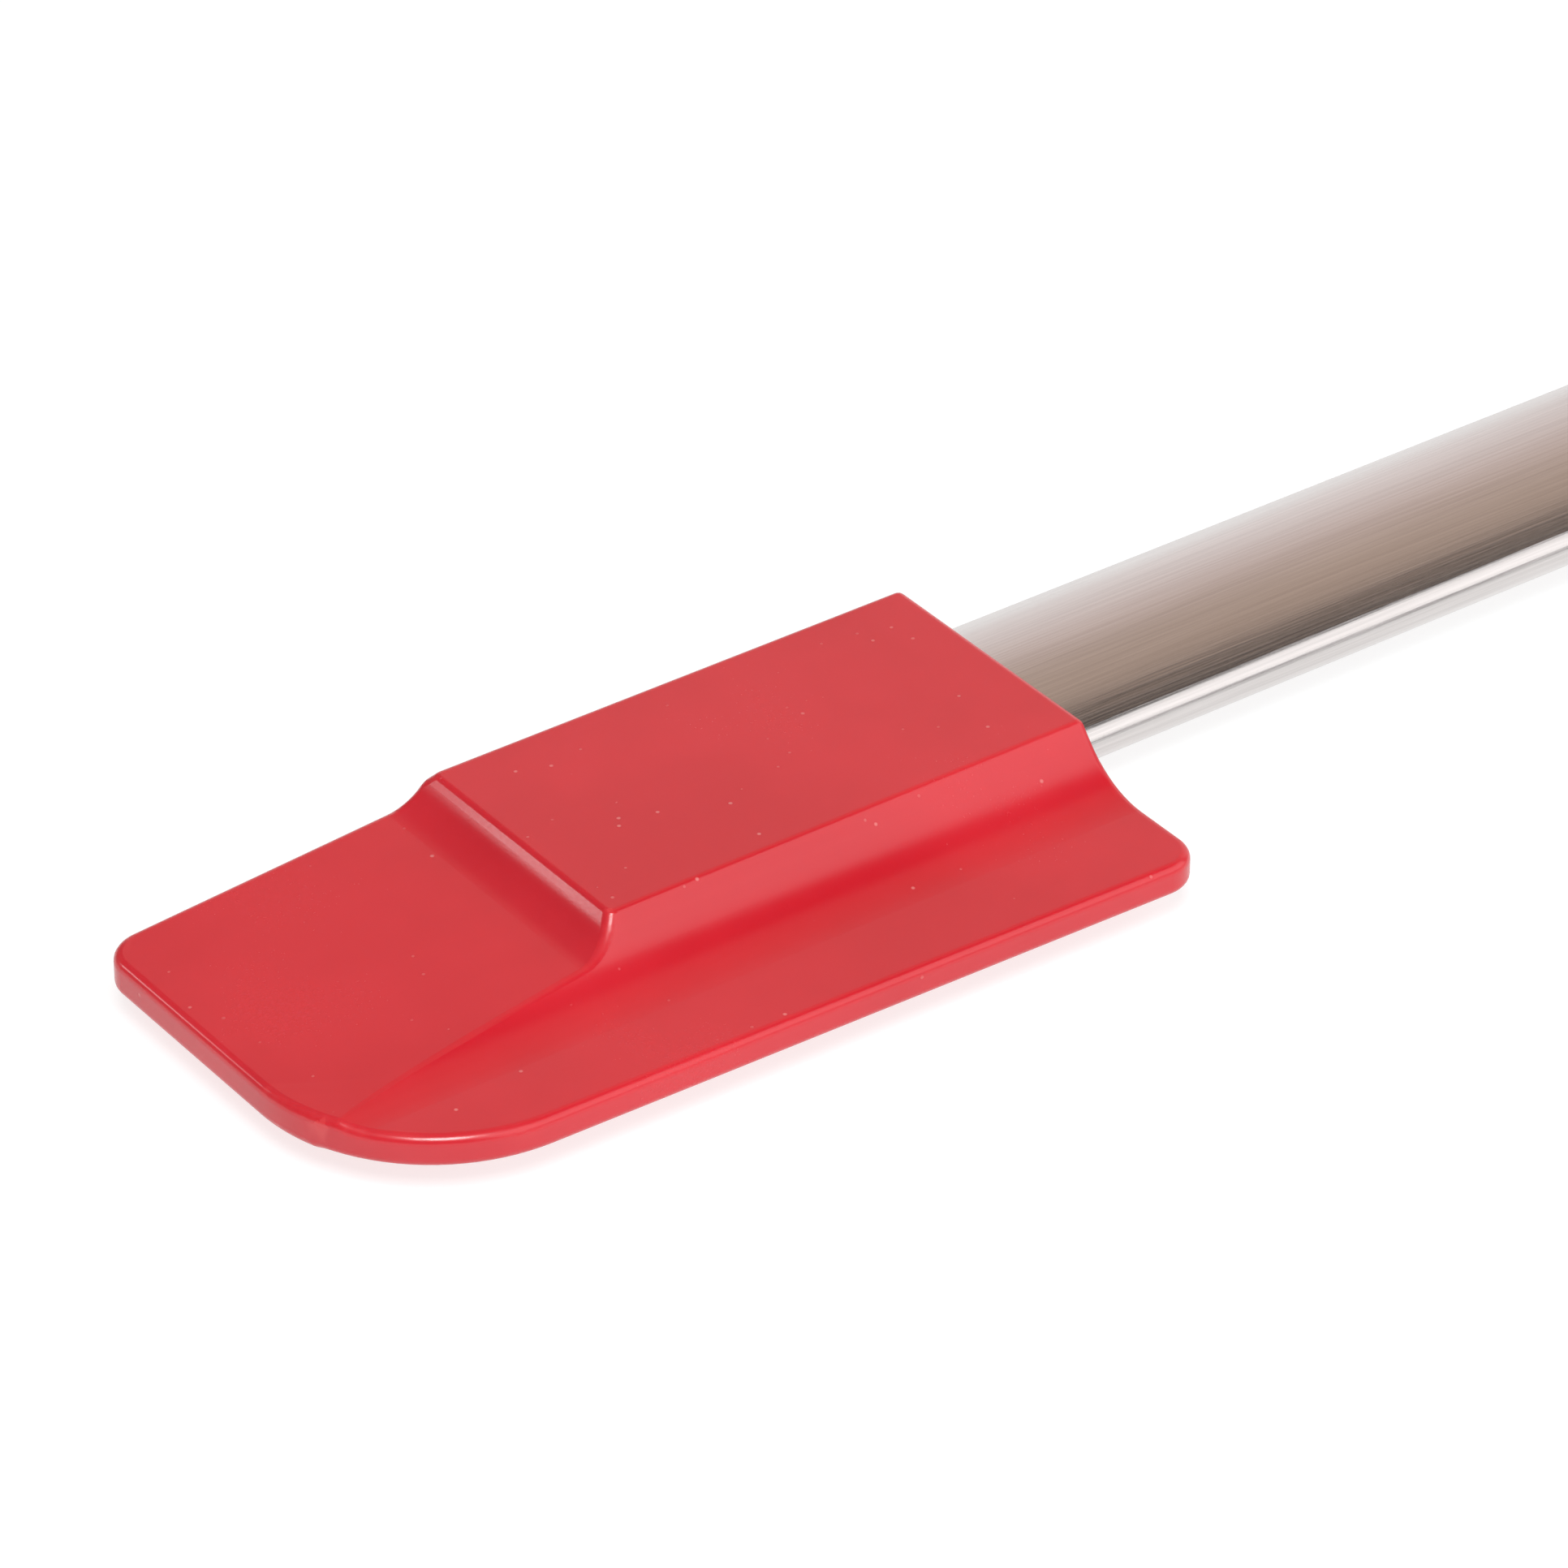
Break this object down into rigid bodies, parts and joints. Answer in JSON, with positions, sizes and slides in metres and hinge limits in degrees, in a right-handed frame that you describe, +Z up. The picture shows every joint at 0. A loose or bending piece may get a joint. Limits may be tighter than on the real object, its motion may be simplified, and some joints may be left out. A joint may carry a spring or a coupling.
{
  "type": "silicone bowl scraper",
  "caption": "Silicone bowl scraper: a soft asymmetric blade with one round corner, pushed over an oval brushed-steel tube handle with a hanging eye.",
  "frame": {"origin": "centre of the hanging eye, on the handle's axis", "axes": "+X along the handle, from the blade to the hanging eye; the blade's wide wing points to -Y; +Z is up, square to the blade's flat"},
  "size_m": [0.273, 0.0468, 0.0116],
  "materials": {
    "silicone": "satin red moulded silicone",
    "brushed_tube": "stainless tube brushed along its length",
    "nylon": "matt moulded nylon",
    "polished_steel": "satin polished stainless steel"
  },
  "bodies": {
    "handle": {"handle_tube": "brushed_tube", "tip_plug": "nylon", "end_cap": "polished_steel", "hanging_eyelet": "polished_steel"},
    "blade": {"silicone_blade": "silicone"}
  },
  "joints": [
    {"name": "blade_pull_off", "type": "slide", "parent": "handle", "child": "blade", "axis": [-1, 0, 0], "range_m": [0, 0.06]}
  ]
}
